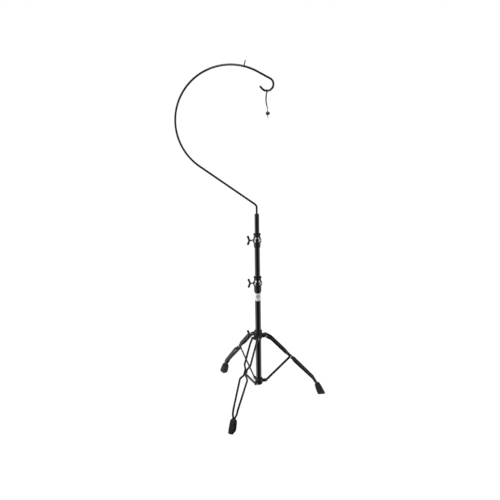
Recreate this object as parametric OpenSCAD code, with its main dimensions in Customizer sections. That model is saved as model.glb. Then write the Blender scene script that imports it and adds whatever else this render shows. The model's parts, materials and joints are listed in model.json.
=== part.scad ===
// Suspended-cymbal stand: a three-legged folding base, a telescoping mast in
// three tubes, and a gooseneck arm whose hook carries a cord loop.
// Millimetres. The origin is on the floor, on the mast's axis. +Z is up, the
// arm leans towards -X and its hook comes back over the mast.

/* [Tubes] */
// Outer diameter of the base tube
base_tube_d = 28.6; // [27:0.1:34]
// Outer diameter of the middle tube
middle_tube_d = 25.4; // [24:0.1:25.6]
// Outer diameter of the upper tube
upper_tube_d = 22.2; // [21:0.1:22.4]
// Wall of every tube
tube_wall = 1.2; // [0.9:0.1:1.3]
// Height of the base tube's lower end
base_tube_bottom = 90; // [80:1:96]
// Height of the middle tube's lower end
middle_tube_bottom = 460; // [400:1:500]
// Height of the upper tube's lower end
upper_tube_bottom = 610; // [560:1:640]
// Height of the upper tube's top
upper_tube_top = 1000; // [950:1:1100]

/* [Clamps] */
// Height of the lower clamp's bottom edge
lower_clamp_z = 600; // [580:1:640]
// Height of the upper clamp's bottom edge
upper_clamp_z = 834; // [800:1:860]
// Wall of the nylon sleeves
sleeve_wall = 2.8; // [2:0.1:3.5]
// Wall of the castings round the sleeves
clamp_wall = 2.1; // [1.6:0.1:3]
// Wall of the castings round the tube they are fixed to
clamp_collar_wall = 3.7; // [3:0.1:5]

/* [Legs] */
// Heading of the first leg, from +X
leg_heading = 5.7; // [0:0.1:30]
// Distance of the collar and hub pivots from the axis
pivot_radius = 38; // [36:0.5:44]
// Height of the collar's pivots
collar_pivot_z = 363; // [340:1:390]
// Height of the hub's pivots
hub_pivot_z = 102.6; // [100:0.1:120]
// Distance of the middle pivots from the axis
mid_radius = 165; // [150:1:180]
// Slope of a leg's straight part, below the horizontal
leg_slope = 48.5; // [47:0.1:50]
// Width of a leg strip
strip_w = 13; // [11:0.5:15]
// Depth of a leg strip, which is a channel open towards its twin
strip_t = 6.5; // [5:0.1:8]
// Sheet thickness of a leg strip
strip_wall = 1.6; // [1.2:0.1:2]
// Half the spread of the two strips at the upper bow
upper_bow = 16; // [14:0.5:20]
// Half the spread of the two strips at the lower bow
lower_bow = 20; // [16:0.5:24]
// Width of a brace
brace_w = 12; // [10:0.5:14]
// Thickness of a brace
brace_t = 3; // [2.5:0.1:4]
// Length of the foot's sole
foot_l = 42; // [34:1:48]
// Width of the foot
foot_w = 30; // [24:1:34]

/* [Castings] */
// Width of the collar's ears
ear_w = 25; // [20:0.5:28]
// Wall of the leg collar round its bush
collar_wall = 3.4; // [3:0.1:5]
// Wall of the collar's nylon bush
bush_wall = 2; // [1.5:0.1:3]
// Height of the leg collar
collar_h = 45; // [36:1:50]
// Thickness of each cheek of the hub
cheek_t = 4; // [3:0.5:6]
// Diameter of the rivets
rivet_d = 5; // [4:0.5:6]

/* [Wing bolts] */
// Diameter of the wing bolts' shanks
bolt_d = 6; // [5:0.5:8]
// Distance from the bolt's axis to the centre of a wing's tip
wing_reach = 18.5; // [15:0.5:22]
// Width of the wings
wing_w = 10.2; // [8:0.1:11]
// Thickness of the wings
wing_t = 6.5; // [5:0.5:8]

/* [Arm] */
// Diameter of the arm's rod
rod_d = 9.4; // [8:0.1:10]
// Lean of the arm's straight run, from the vertical
arm_lean = 53.6; // [45:0.1:60]
// Height of the arm's first corner
arm_corner_z = 1045; // [1030:1:1080]
// Radius of the arm's first bend
arm_bend_r = 22; // [16:1:30]
// Length of the arm's straight run
arm_run = 310; // [260:1:360]
// Radius of the bow
bow_r = 250; // [215:1:280]
// Slope of the straight stretch between bow and hook
drop_slope = 28.9; // [20:0.1:40]
// Length of the straight stretch between bow and hook
drop_l = 63; // [50:1:80]
// Radius of the hook
hook_r = 28.5; // [22:0.5:36]
// Angle that the hook turns through
hook_turn = 199; // [185:1:215]
// Length of the hook's straight tip
tip_l = 12; // [8:1:16]
// Diameter of the strap peg
peg_d = 5; // [4:0.5:6]
// Length of the strap peg above the rod's centre
peg_l = 27; // [20:1:34]
// Angle of the strap peg after the top of the bow, from the vertical
peg_angle = 14.4; // [-30:0.1:20]

/* [Cord lock] */
// Diameter of the cord
cord_d = 3.2; // [2.8:0.1:3.4]
// Diameter of the lock's barrel
lock_d = 15; // [14:0.5:18]
// Length of the lock's barrel
lock_l = 15; // [14:0.5:17]
// Diameter of the lock's plunger
plunger_d = 9; // [9:0.1:10]
// Travel of the lock's plunger
plunger_travel = 1.6; // [1.2:0.1:2]

/* [Fits] */
// Radial clearance of pins and bolts that turn
running = 0.05; // [0.02:0.01:0.1]
// Radial clearance of parts that slide over each other
loose = 0.3; // [0.2:0.05:0.5]
// Side clearance between the flat parts at a pivot
side_gap = 0.15; // [0.1:0.05:0.4]

/* [Hidden] */
$fn = 64;
eps = 0.01;

LEGS = ["a", "b", "c"];

// Colours
black_paint = [0.06, 0.06, 0.065];
cast_black = [0.05, 0.05, 0.055];
nylon_white = [0.86, 0.85, 0.82];
bare_zinc = [0.72, 0.72, 0.70];
rubber_black = [0.09, 0.09, 0.09];

// Tubes
base_r = base_tube_d / 2;
middle_r = middle_tube_d / 2;
upper_r = upper_tube_d / 2;

// A clamp: skirt, collar, shoulder, a cage of ribs with side loops, and a rim
skirt_h = 9;            // height of the chamfered lower edge
skirt_wall = 1.4;       // wall at the chamfer's lower edge
lower_collar_top = 34;  // heights above the clamp's bottom edge
lower_axis = 49;
lower_rim = 78;
upper_collar_top = 17;
upper_axis = 37.5;
upper_rim = 66;
shoulder_h = 7;
rim_h = 5;
rim_wall = 4;
loop_over = 4.6;        // how far the side loops stand out past the cage
loop_t = 11;            // thickness of the side loops, front to back
window_w = 9;
window_h = 15;
gap_w = 8;              // the openings above the side loops
gap_h = 14;
boss_d = 12.4;
sleeve_gap = 0.5;       // between the fixed tube's end and the sleeve
sleeve_l = 30;
lower_seat = lower_clamp_z + lower_collar_top + shoulder_h;
upper_seat = upper_clamp_z + upper_collar_top + shoulder_h;
base_tube_top = lower_seat;
middle_tube_top = upper_seat;

// Legs: M is the middle pivot, s runs down the leg's straight part from M
mid_z = (collar_pivot_z + hub_pivot_z) / 2;
brace_l = norm([mid_radius - pivot_radius, mid_z - hub_pivot_z]);
brace_tilt = atan2(mid_z - hub_pivot_z, mid_radius - pivot_radius);
rivet_r = rivet_d / 2;
knee_s = -150;          // the bend near the collar
ankle_s = 178;          // the bend above the foot
foot_top = [304.5, 61]; // where the strips enter the foot
sole_mid = 330;         // the sole's middle, from the axis
pinch_from = -22;       // the strips close on the brace between these two
pinch_to = 9;
pinch_ramp = 20;        // length of the ramps beside them
pinch_half = brace_t / 2 + side_gap + strip_t / 2;
ear_half = ear_w / 2 + side_gap + strip_t / 2;
foot_half = (brace_t + strip_t) / 2;
ankle_half = 12;
strip_in = 34;          // length of the strips inside the foot
close_from = 20;        // above the foot, where the strips start to close
close_half = 10.5;
leg_bend_r = 26;        // bends in the leg's side view
spread_bend_r = 8;      // bends in the strips' bows
head_r = 4.5;
head_h = 1.9;

// The leg's line in the plane of its own radius, from the collar's pivot
// to the end inside the foot
function down_leg(s) = [mid_radius + s * cos(leg_slope), mid_z - s * sin(leg_slope)];
knee = down_leg(knee_s);
ankle = down_leg(ankle_s);
foot_dir = (foot_top - ankle) / norm(foot_top - ankle);
strip_end = foot_top + strip_in * foot_dir;
leg_line = [[pivot_radius, collar_pivot_z], knee, ankle, strip_end];
foot_top_s = (foot_top - down_leg(0)) * [cos(leg_slope), -sin(leg_slope)];
collar_s = ([pivot_radius, collar_pivot_z] - down_leg(0)) * [cos(leg_slope), -sin(leg_slope)];

// The spread of a strip along s, as a line with corners
spread_line = [
    [collar_s - 20, ear_half],
    [collar_s + 20, ear_half],
    [pinch_from - pinch_ramp, upper_bow],
    [pinch_from, pinch_half],
    [pinch_to, pinch_half],
    [pinch_to + pinch_ramp, lower_bow],
    [ankle_s, ankle_half],
    [foot_top_s - close_from, close_half],
    [foot_top_s - 4, foot_half],
    [foot_top_s + 60, foot_half]
];

// Collar and hub
bush_r = base_r + loose;
bush_out_r = bush_r + bush_wall;
collar_r = bush_out_r + collar_wall;
collar_z = collar_pivot_z - 16;
ear_r = 7;
collar_bolt_z = collar_pivot_z + 9;
collar_bolt_heading = leg_heading + 180;
hub_r = base_r + 5.7;
hub_z = hub_pivot_z - 18;
hub_h = 34;
cheek_gap = brace_t + 2 * side_gap;

// Wing bolts: x runs outwards along the bolt's axis from the mast
wing_lean = 8;
wing_hub_x = 37.5;
collar_wing_x = 46;
wing_stem_d = 7;
wing_stem_l = 13.5;

// Arm: headings are angles from +X in the XZ plane
rod_r = rod_d / 2;
rod_bottom = upper_tube_top - 46;
run_heading = 90 + arm_lean;
corner_l = arm_bend_r * tan(arm_lean / 2);
bow_turn = run_heading + drop_slope;

function ahead(p, heading, l) = p + l * [cos(heading), sin(heading)];
run_start = ahead([0, arm_corner_z], run_heading, corner_l);
run_end = ahead(run_start, run_heading, arm_run);
bow_mid = ahead(run_end, run_heading - 90, bow_r);
bow_end = ahead(bow_mid, 90 - drop_slope, bow_r);
drop_end = ahead(bow_end, -drop_slope, drop_l);
hook_mid = ahead(drop_end, -90 - drop_slope, hook_r);
hook_bottom = hook_mid - [0, hook_r];
hook_end = ahead(hook_mid, 90 - drop_slope - hook_turn, hook_r);
tip_heading = -drop_slope - hook_turn;
rod_tip = ahead(hook_end, tip_heading, tip_l);
peg_heading = 90 - peg_angle;
weld = 1.3;             // how far the peg's root is wider than the peg, and stands out
peg_at = ahead(bow_mid, peg_heading, bow_r);
knuckle = 0.03;         // the rod's joints stand this proud
knuckle_gap = 0.1;

// Cord: points from the hook's lowest rod centre, up the front strand, over
// the rod and down the back strand
lock_dz = -98.8;        // middle of the lock, below the hook's rod centre
strand_y = 1.8;         // the strands lie side by side in the lock
cord_route = [
    [2.6, -1.8, -112], [2.6, -1.8, -110], [1.9, -1.8, -106],
    [1.9, -1.8, -99], [1.9, -1.8, -91], [1.9, -1.8, -82], [1.4, -1.9, -75],
    [-1.6, -2.6, -66], [-4.2, -3.6, -56], [-5.8, -4.6, -44], [-6.0, -5.6, -31],
    [-5.0, -6.4, -19], [-3.0, -6.9, -9], [-1.4, -6.9, 0], [-0.8, -6.0, 3.4],
    [-0.4, -3.5, 5.9], [0, 0, 6.9], [0.4, 3.5, 5.9], [0.8, 6.0, 3.4],
    [1.4, 6.9, 0], [0.2, 6.9, -9], [-1.6, 6.4, -19], [-2.8, 5.6, -31],
    [-3.0, 4.6, -44], [-1.8, 3.6, -56], [0.2, 2.6, -66], [1.8, 1.9, -75],
    [1.9, 1.8, -82], [1.9, 1.8, -91], [1.9, 1.8, -99], [1.9, 1.8, -106],
    [2.6, 1.8, -110], [2.6, 1.8, -112]
];
lock_x = 1.9;
lock_wall = 1.6;
lock_bore_end = -lock_l / 2 + lock_wall;
plunger_l = 13;
plunger_in = -2.9;      // the plunger's inner end, from the lock's middle
slot_d = cord_d + 0.6;
spring_wire = 0.4;
spring_turns = 3;

// ---------------------------------------------------------------- helpers

module on_leg(i) {
    rotate([0, 0, leg_heading + 120 * i]) children();
}

// Draws a 2D shape of (radius, height) in the XZ plane, t thick about y = 0
module upright(t) {
    rotate([90, 0, 0]) linear_extrude(height = t, center = true) children();
}

// A bar with round ends between two points
module bar2d(p, q, w) {
    d = q - p;
    translate(p) rotate(atan2(d.y, d.x)) translate([0, -w / 2]) square([norm(d), w]);
    translate(p) circle(d = w);
    translate(q) circle(d = w);
}

module ring(r_in, r_out, z, h) {
    translate([0, 0, z]) difference() {
        cylinder(r = r_out, h = h);
        translate([0, 0, -eps]) cylinder(r = r_in, h = h + 2 * eps);
    }
}

// A cylinder along y, centred on (x, z)
module cross_pin(x, z, r, l) {
    translate([x, 0, z]) rotate([90, 0, 0]) cylinder(r = r, h = l, center = true);
}

// Points of a line whose inner corners are rounded to the radius r
function unit(v) = v / norm(v);
function corner_arc(a, b, c, r, n = 5) =
    let (u = unit(a - b), v = unit(c - b), half = acos(u * v) / 2,
         cut = r / tan(half), m = b + unit(u + v) * (r / sin(half)),
         from = b + u * cut - m, to = b + v * cut - m,
         start = atan2(from.y, from.x),
         raw = atan2(to.y, to.x) - start,
         sweep = raw > 180 ? raw - 360 : raw < -180 ? raw + 360 : raw)
    [for (k = [0 : n]) m + r * [cos(start + sweep * k / n), sin(start + sweep * k / n)]];
function rounded_line(p, r) = concat(
    [p[0]],
    [for (i = [1 : len(p) - 2]) each corner_arc(p[i - 1], p[i], p[i + 1], r)],
    [p[len(p) - 1]]
);

// The outline of a band of width w along a line
function side_of(p, i, w) =
    let (a = p[max(i - 1, 0)], b = p[min(i + 1, len(p) - 1)], d = unit(b - a))
    p[i] + w / 2 * [-d.y, d.x];
function band(p, w) = concat(
    [for (i = [0 : len(p) - 1]) side_of(p, i, w)],
    [for (i = [len(p) - 1 : -1 : 0]) side_of(p, i, -w)]
);

// The half circle that closes a band of width w at p, its end, where q is next
function round_end(p, q, w, n = 12) =
    let (back = p - q, start = atan2(back.y, back.x) + 90)
    [for (k = [1 : n - 1]) p + w / 2 * [cos(start - 180 * k / n), sin(start - 180 * k / n)]];

// A round tube of diameter d through a list of 3D points
function tangent(p, i) = unit(p[min(i + 1, len(p) - 1)] - p[max(i - 1, 0)]);
function tube_ring(p, i, d, n) =
    let (t = tangent(p, i), u = unit(cross(t, [1, 0, 0])), v = cross(t, u))
    [for (k = [0 : n - 1]) p[i] + d / 2 * (cos(360 * k / n) * u + sin(360 * k / n) * v)];
module tube(p, d, n = 8) {
    rings = len(p);
    polyhedron(
        points = [for (i = [0 : rings - 1]) each tube_ring(p, i, d, n)],
        faces = concat(
            [[for (k = [n - 1 : -1 : 0]) k]],
            [for (i = [0 : rings - 2], k = [0 : n - 1]) each [
                [i * n + k, i * n + (k + 1) % n, (i + 1) * n + k],
                [i * n + (k + 1) % n, (i + 1) * n + (k + 1) % n, (i + 1) * n + k]
            ]],
            [[for (k = [0 : n - 1]) (rings - 1) * n + k]]
        )
    );
}

// ------------------------------------------------------------------ mast

module tube_between(r, bottom, top) {
    ring(r - tube_wall, r, bottom, top - bottom);
}

module base_tube() {
    color(black_paint) tube_between(base_r, base_tube_bottom, base_tube_top);
}

module middle_tube() {
    color(black_paint) tube_between(middle_r, middle_tube_bottom, middle_tube_top);
}

module upper_tube() {
    color(black_paint) tube_between(upper_r, upper_tube_bottom, upper_tube_top);
}

// Plastic bung that closes the base tube, with a bevelled underside
module base_end_plug() {
    plug_l = 18;
    flange = 2;
    bevel = 4;
    color(rubber_black) translate([0, 0, base_tube_bottom]) {
        cylinder(r = base_r - tube_wall, h = plug_l);
        translate([0, 0, -flange]) cylinder(r = base_r, h = flange + eps);
        translate([0, 0, -flange - bevel]) cylinder(r1 = 0.6 * base_r, r2 = base_r, h = bevel);
    }
}

module upper_tube_plug() {
    cap_h = 3;
    color(rubber_black) difference() {
        union() {
            translate([0, 0, rod_bottom]) cylinder(
                r = upper_r - tube_wall, h = upper_tube_top - rod_bottom);
            translate([0, 0, upper_tube_top]) cylinder(r1 = upper_r, r2 = upper_r - 3, h = cap_h);
        }
        translate([0, 0, rod_bottom - eps]) cylinder(
            r = rod_r, h = upper_tube_top - rod_bottom + cap_h + 2 * eps);
    }
}

// Sticker round the base tube, its lower edge rounded at the front and back
module tube_label() {
    label_t = 0.3;
    label_top = lower_clamp_z - 1;
    label_h = 40;
    corner = 8;
    color(nylon_white) intersection() {
        ring(base_r, base_r + label_t, label_top - label_h, label_h);
        upright(4 * base_r) {
            translate([-base_r - 1, label_top - label_h + corner])
                square([2 * base_r + 2, label_h]);
            translate([-base_r - 1 + corner, label_top - label_h])
                square([2 * (base_r + 1 - corner), label_h]);
            for (side = [-1, 1])
                translate([side * (base_r + 1 - corner), label_top - label_h + corner])
                    circle(r = corner);
        }
    }
}

// ---------------------------------------------------------------- clamps

// Cast clamp fixed on the lower tube's end. Its cage holds a nylon sleeve,
// which grips the next tube.
module clamp(z, tube_r, sleeve_r, collar_top, axis, rim) {
    cage_in = sleeve_r + running;
    cage_out = cage_in + clamp_wall;
    collar_out = tube_r + clamp_collar_wall;
    loop_r = cage_out + loop_over;
    seat = collar_top + shoulder_h;
    color(cast_black) translate([0, 0, z]) difference() {
        union() {
            cylinder(r1 = tube_r + skirt_wall, r2 = collar_out, h = skirt_h);
            translate([0, 0, skirt_h]) cylinder(r = collar_out, h = collar_top - skirt_h);
            translate([0, 0, collar_top]) cylinder(r1 = collar_out, r2 = cage_out, h = shoulder_h);
            translate([0, 0, seat - eps]) cylinder(r = cage_out, h = rim + rim_h - seat);
            translate([0, 0, rim]) cylinder(r = cage_in + rim_wall, h = rim_h);
            upright(loop_t) translate([0, axis]) circle(r = loop_r);
            translate([-loop_r - 1, 0, axis]) rotate([0, 90, 0]) cylinder(d = boss_d, h = loop_r);
        }
        translate([0, 0, -eps]) cylinder(r = tube_r, h = seat + 2 * eps);
        translate([0, 0, seat]) cylinder(r = cage_in, h = rim);
        upright(4 * loop_r) for (side = [-1, 1]) {
            translate([side * (cage_in - 2), axis - (window_h - window_w) / 2])
                bar2d([0, 0], [0, window_h - window_w], window_w);
            translate([side * (cage_in - 6), axis + window_h / 2 + 3])
                bar2d([0, 2], [0, gap_h - gap_w], gap_w);
        }
        translate([-loop_r - 2, 0, axis]) rotate([0, 90, 0])
            cylinder(r = bolt_d / 2 + running, h = loop_r);
    }
}

module lower_clamp() {
    clamp(lower_clamp_z, base_r, middle_r + running + sleeve_wall,
          lower_collar_top, lower_axis, lower_rim);
}

module upper_clamp() {
    clamp(upper_clamp_z, middle_r, upper_r + running + sleeve_wall,
          upper_collar_top, upper_axis, upper_rim);
}

// Nylon sleeve that the clamp squeezes round a tube
module sleeve(tube_r, seat) {
    color(nylon_white)
        ring(tube_r + running, tube_r + running + sleeve_wall, seat + sleeve_gap, sleeve_l);
}

module lower_sleeve() {
    sleeve(middle_r, lower_seat);
}

module upper_sleeve() {
    sleeve(upper_r, upper_seat);
}

// ------------------------------------------------------------ wing bolts

// Two arms with round tips, which lean away from the mast
module wing_outline(hub_x) {
    translate([hub_x, 0]) {
        circle(d = wing_w);
        for (side = [-1, 1]) {
            rotate(atan2(side * wing_reach, wing_lean)) translate([0, -wing_w / 2])
                square([norm([wing_lean, wing_reach]), wing_w]);
            translate([wing_lean, side * wing_reach]) circle(d = wing_w);
        }
    }
}

module wing(hub_x) {
    color(rubber_black) difference() {
        union() {
            upright(wing_t) wing_outline(hub_x);
            translate([hub_x - wing_stem_l, 0, 0]) rotate([0, 90, 0])
                cylinder(d = wing_stem_d, h = wing_stem_l);
            translate([hub_x, 0, 0]) rotate([0, 90, 0])
                cylinder(d = wing_w + 1, h = wing_w + 1.4, center = true);
        }
        translate([hub_x - wing_stem_l - eps, 0, 0]) rotate([0, 90, 0])
            cylinder(d = bolt_d, h = wing_stem_l);
    }
}

module bolt(from, hub_x) {
    color(bare_zinc) translate([from, 0, 0]) rotate([0, 90, 0])
        cylinder(d = bolt_d, h = hub_x - eps - from);
}

module at_clamp_bolt(z) {
    translate([0, 0, z]) rotate([0, 0, 180]) children();
}

module lower_bolt() {
    at_clamp_bolt(lower_clamp_z + lower_axis)
        bolt(middle_r + running + sleeve_wall + loose, wing_hub_x);
}

module lower_wing() {
    at_clamp_bolt(lower_clamp_z + lower_axis) wing(wing_hub_x);
}

module upper_bolt() {
    at_clamp_bolt(upper_clamp_z + upper_axis)
        bolt(upper_r + running + sleeve_wall + loose, wing_hub_x);
}

module upper_wing() {
    at_clamp_bolt(upper_clamp_z + upper_axis) wing(wing_hub_x);
}

module at_collar_bolt() {
    translate([0, 0, collar_bolt_z]) rotate([0, 0, collar_bolt_heading]) children();
}

module collar_bolt() {
    at_collar_bolt() bolt(bush_out_r + loose, collar_wing_x);
}

module collar_wing() {
    at_collar_bolt() wing(collar_wing_x);
}

// -------------------------------------------------------- collar and hub

module leg_collar() {
    boss_end = collar_wing_x - wing_stem_l - 0.5;
    chamfer = 3;
    color(cast_black) difference() {
        union() {
            translate([0, 0, collar_z + chamfer])
                cylinder(r = collar_r, h = collar_h - 2 * chamfer);
            translate([0, 0, collar_z])
                cylinder(r1 = collar_r - chamfer / 2, r2 = collar_r, h = chamfer);
            translate([0, 0, collar_z + collar_h - chamfer])
                cylinder(r1 = collar_r, r2 = collar_r - chamfer / 2, h = chamfer);
            for (i = [0 : 2]) on_leg(i) upright(ear_w)
                bar2d([bush_out_r, collar_pivot_z], [pivot_radius, collar_pivot_z], 2 * ear_r);
            at_collar_bolt() rotate([0, 90, 0]) cylinder(d = boss_d + 2, h = boss_end);
        }
        translate([0, 0, collar_z - eps]) cylinder(r = bush_out_r, h = collar_h + 2 * eps);
        for (i = [0 : 2]) on_leg(i) cross_pin(pivot_radius, collar_pivot_z, rivet_r, 2 * ear_w);
        at_collar_bolt() rotate([0, 90, 0]) cylinder(r = bolt_d / 2 + running, h = 60);
    }
}

module collar_bush() {
    flange = 1;
    color(nylon_white) {
        ring(bush_r, bush_out_r, collar_z, collar_h);
        ring(bush_r, bush_out_r + flange, collar_z + collar_h, flange);
    }
}

// A rivet with two domed heads, l apart
module rivet(x, z, l) {
    cross_pin(x, z, rivet_r, l + 2 * eps);
    for (side = [-1, 1]) translate([x, side * l / 2, z]) rotate([side * -90, 0, 0])
        cylinder(r1 = head_r, r2 = head_r * 0.6, h = head_h);
}

module collar_rivets() {
    color(bare_zinc) for (i = [0 : 2]) on_leg(i)
        rivet(pivot_radius, collar_pivot_z, 2 * (ear_half + strip_t / 2 + side_gap));
}

module lower_hub() {
    edge = 4;
    color(cast_black) difference() {
        union() {
            translate([0, 0, hub_z]) cylinder(r1 = hub_r - edge, r2 = hub_r, h = edge);
            translate([0, 0, hub_z + edge]) cylinder(r = hub_r, h = hub_h - edge - 2);
            translate([0, 0, hub_z + hub_h - 2]) cylinder(r1 = hub_r, r2 = hub_r - 2, h = 2);
            for (i = [0 : 2]) on_leg(i) upright(cheek_gap + 2 * cheek_t)
                bar2d([base_r, hub_pivot_z], [pivot_radius, hub_pivot_z], 2 * ear_r);
        }
        translate([0, 0, hub_z - eps]) cylinder(r = base_r, h = hub_h + 2 * eps);
        for (i = [0 : 2]) on_leg(i) {
            cross_pin(pivot_radius, hub_pivot_z, rivet_r, 60);
            translate([hub_r + 1.5, -cheek_gap / 2, hub_pivot_z - 30])
                cube([60, cheek_gap, 60]);
        }
    }
}

module hub_rivets() {
    color(bare_zinc) for (i = [0 : 2]) on_leg(i)
        rivet(pivot_radius, hub_pivot_z, cheek_gap + 2 * cheek_t);
}

// ------------------------------------------------------------------ legs

// A bar along one strip: the leg's side view as a band of that width, with a
// round upper end, crossed with the strip's own bowed line moved inwards by
// the inset, which is drawn across the straight part. side is 1 or -1.
module strip_bar(side, line, width, inset) {
    depth = 2 * (foot_top_s - pinch_from);
    intersection() {
        upright(4 * lower_bow) polygon(concat(
            band(rounded_line(line, leg_bend_r), width),
            round_end(line[0], line[1], width)
        ));
        translate([mid_radius, 0, mid_z]) rotate([0, leg_slope, 0])
            linear_extrude(height = depth, center = true) scale([1, side])
                polygon(band(rounded_line([for (p = spread_line) p - [0, inset]],
                                          spread_bend_r), strip_t));
    }
}

module strip(side) {
    strip_bar(side, leg_line, strip_w, 0);
}

// The strip's hollow, which stops short of its lower end
module strip_hollow(side) {
    end = foot_top + (strip_in - 2 * strip_wall) * foot_dir;
    strip_bar(side, [leg_line[0], knee, ankle, end], strip_w - 2 * strip_wall, strip_wall);
}

module leg_strip(i, side) {
    color(black_paint) on_leg(i) difference() {
        strip(side);
        strip_hollow(side);
        cross_pin(pivot_radius, collar_pivot_z, rivet_r + running, 4 * lower_bow);
        cross_pin(mid_radius, mid_z, rivet_r, 4 * lower_bow);
    }
}

// Rubber foot over the strips' ends, flat underneath
module foot(i) {
    across = [-foot_dir.y, foot_dir.x];
    crown_half = 13.5;
    shoulder = 5.5;
    corner = 5;
    heel = [sole_mid - foot_l / 2, 0];
    toe = [sole_mid + foot_l / 2, 0];
    crown = foot_top + 5 * foot_dir;
    color(rubber_black) on_leg(i) difference() {
        upright(foot_w) {
            polygon([
                heel + [corner, 0], toe - [corner, 0], toe + [0, 2 * corner],
                crown + (crown_half - 0.5) * across + 1.3 * shoulder * foot_dir,
                crown + (crown_half - shoulder) * across,
                crown - (crown_half - shoulder) * across,
                crown - crown_half * across + shoulder * foot_dir,
                heel + [0, corner]
            ]);
        }
        for (side = [-1, 1]) strip(side);
    }
}

// Rivet that closes the strips on the brace
module mid_rivet(i) {
    color(bare_zinc) on_leg(i) rivet(mid_radius, mid_z, 2 * (pinch_half + strip_t / 2));
}

// Flat brace from the hub to the middle pivot. The mid bore is free in the
// second and third brace.
module brace(i) {
    mid_play = i == 0 ? running : loose;
    color(black_paint) on_leg(i) difference() {
        upright(brace_t)
            bar2d([pivot_radius, hub_pivot_z], [mid_radius, mid_z], brace_w);
        cross_pin(pivot_radius, hub_pivot_z, rivet_r + running, 20);
        cross_pin(mid_radius, mid_z, rivet_r + mid_play, 20);
    }
}

// ------------------------------------------------------------------- arm

module rod_arc(mid, r, from, turn) {
    translate([mid.x, 0, mid.y]) rotate([90, 0, 0]) rotate([0, 0, from])
        rotate_extrude(angle = turn) translate([r, 0]) circle(r = rod_r);
}

// Straight stretch of rod, a hair short at both ends of what the bends leave
module rod_run(p, heading, l) {
    translate([p.x, 0, p.y]) rotate([0, 90 - heading, 0])
        translate([0, 0, knuckle_gap]) cylinder(r = rod_r, h = l - 2 * knuckle_gap);
}

// Where a bend meets a straight stretch, and they are joined
module rod_knuckle(p) {
    translate([p.x, 0, p.y]) sphere(r = rod_r + knuckle);
}

module arm_rod() {
    corner_from = [0, arm_corner_z - corner_l];
    color(cast_black) difference() {
        union() {
            rod_run([0, rod_bottom], 90, corner_from.y - rod_bottom);
            rod_arc(corner_from - [arm_bend_r, 0], arm_bend_r, 0, arm_lean);
            rod_run(run_start, run_heading, arm_run);
            rod_arc(bow_mid, bow_r, 90 - drop_slope, bow_turn);
            rod_run(bow_end, -drop_slope, drop_l);
            rod_arc(hook_mid, hook_r, 90 - drop_slope - hook_turn, hook_turn);
            rod_run(hook_end, tip_heading, tip_l);
            for (p = [corner_from, run_start, run_end, bow_end, drop_end, hook_end, rod_tip])
                rod_knuckle(p);
        }
        rod_peg_hole();
    }
}

module at_peg() {
    translate([peg_at.x, 0, peg_at.y]) rotate([0, 90 - peg_heading, 0]) children();
}

module rod_peg_hole() {
    at_peg() cylinder(d = peg_d + 2 * weld, h = 2 * rod_r);
}

// Peg on a root that stands out of the rod by the weld
module strap_peg() {
    bevel = 1;
    color(cast_black) at_peg() {
        cylinder(d = peg_d + 2 * weld, h = rod_r + weld);
        cylinder(d = peg_d, h = peg_l - bevel);
        translate([0, 0, peg_l - bevel]) cylinder(d1 = peg_d, d2 = peg_d - 1.6 * bevel, h = bevel);
    }
}

// ------------------------------------------------------------ cord, lock

module at_hook_bottom() {
    translate([hook_bottom.x, 0, hook_bottom.y]) children();
}

module at_lock() {
    at_hook_bottom() translate([lock_x, 0, lock_dz]) children();
}

module hang_cord() {
    color([0.16, 0.16, 0.16]) at_hook_bottom() tube(cord_route, cord_d);
}

// Crimped tips on the cord's two ends
module cord_end_tips() {
    tip_h = 9;
    color([0.62, 0.60, 0.58]) at_hook_bottom() for (end = [0, len(cord_route) - 1])
        translate(cord_route[end] - [0, 0, tip_h]) cylinder(d = cord_d + 0.3, h = tip_h);
}

module cord_slot(w) {
    translate([0, 0, -20]) linear_extrude(height = 40)
        for (side = [-1, 1]) bar2d([-w / 2, side * strand_y], [w / 2, side * strand_y], slot_d);
}

module lock_barrel() {
    color(rubber_black) at_lock() difference() {
        union() {
            rotate([0, 90, 0]) cylinder(d = lock_d, h = lock_l - 4, center = true);
            for (side = [-1, 1]) translate([side * (lock_l / 2 - 2), 0, 0])
                rotate([0, side * 90, 0]) cylinder(d1 = lock_d, d2 = lock_d - 3, h = 2);
        }
        translate([lock_bore_end, 0, 0]) rotate([0, 90, 0])
            cylinder(r = plunger_d / 2 + running, h = lock_l);
        cord_slot(eps);
    }
}

module lock_plunger() {
    color(rubber_black) at_lock() difference() {
        translate([plunger_in, 0, 0]) rotate([0, 90, 0]) cylinder(d = plunger_d, h = plunger_l);
        translate([plunger_travel / 2, 0, 0]) cord_slot(plunger_travel);
    }
}

module lock_spring() {
    coil_r = plunger_d / 2 - 1.4;
    free_l = plunger_in - lock_bore_end - spring_wire - 2 * eps;
    steps = 16;
    color(bare_zinc) at_lock() translate([lock_bore_end + spring_wire / 2 + eps, 0, 0])
        tube([for (k = [0 : spring_turns * steps])
            [free_l * k / (spring_turns * steps),
             coil_r * cos(360 * k / steps), coil_r * sin(360 * k / steps)]], spring_wire, 6);
}

// ------------------------------------------------------------------ part

base_tube();
base_end_plug();
lower_hub();
hub_rivets();
tube_label();
lower_clamp();
lower_bolt();
lower_wing();
lower_sleeve();
middle_tube();
upper_clamp();
upper_bolt();
upper_wing();
upper_sleeve();
upper_tube();
upper_tube_plug();
arm_rod();
strap_peg();
leg_collar();
collar_bush();
collar_rivets();
collar_bolt();
collar_wing();
for (i = [0 : 2]) {
    leg_strip(i, 1);
    leg_strip(i, -1);
    foot(i);
    mid_rivet(i);
    brace(i);
}
hang_cord();
cord_end_tips();
lock_barrel();
lock_plunger();
lock_spring();
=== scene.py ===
"""Looks of a suspended cymbal stand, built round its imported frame.

Lengths are in metres, in the frame's own axes: +Z up the mast, the arm in the XZ plane.
"""
import json
import math

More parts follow.
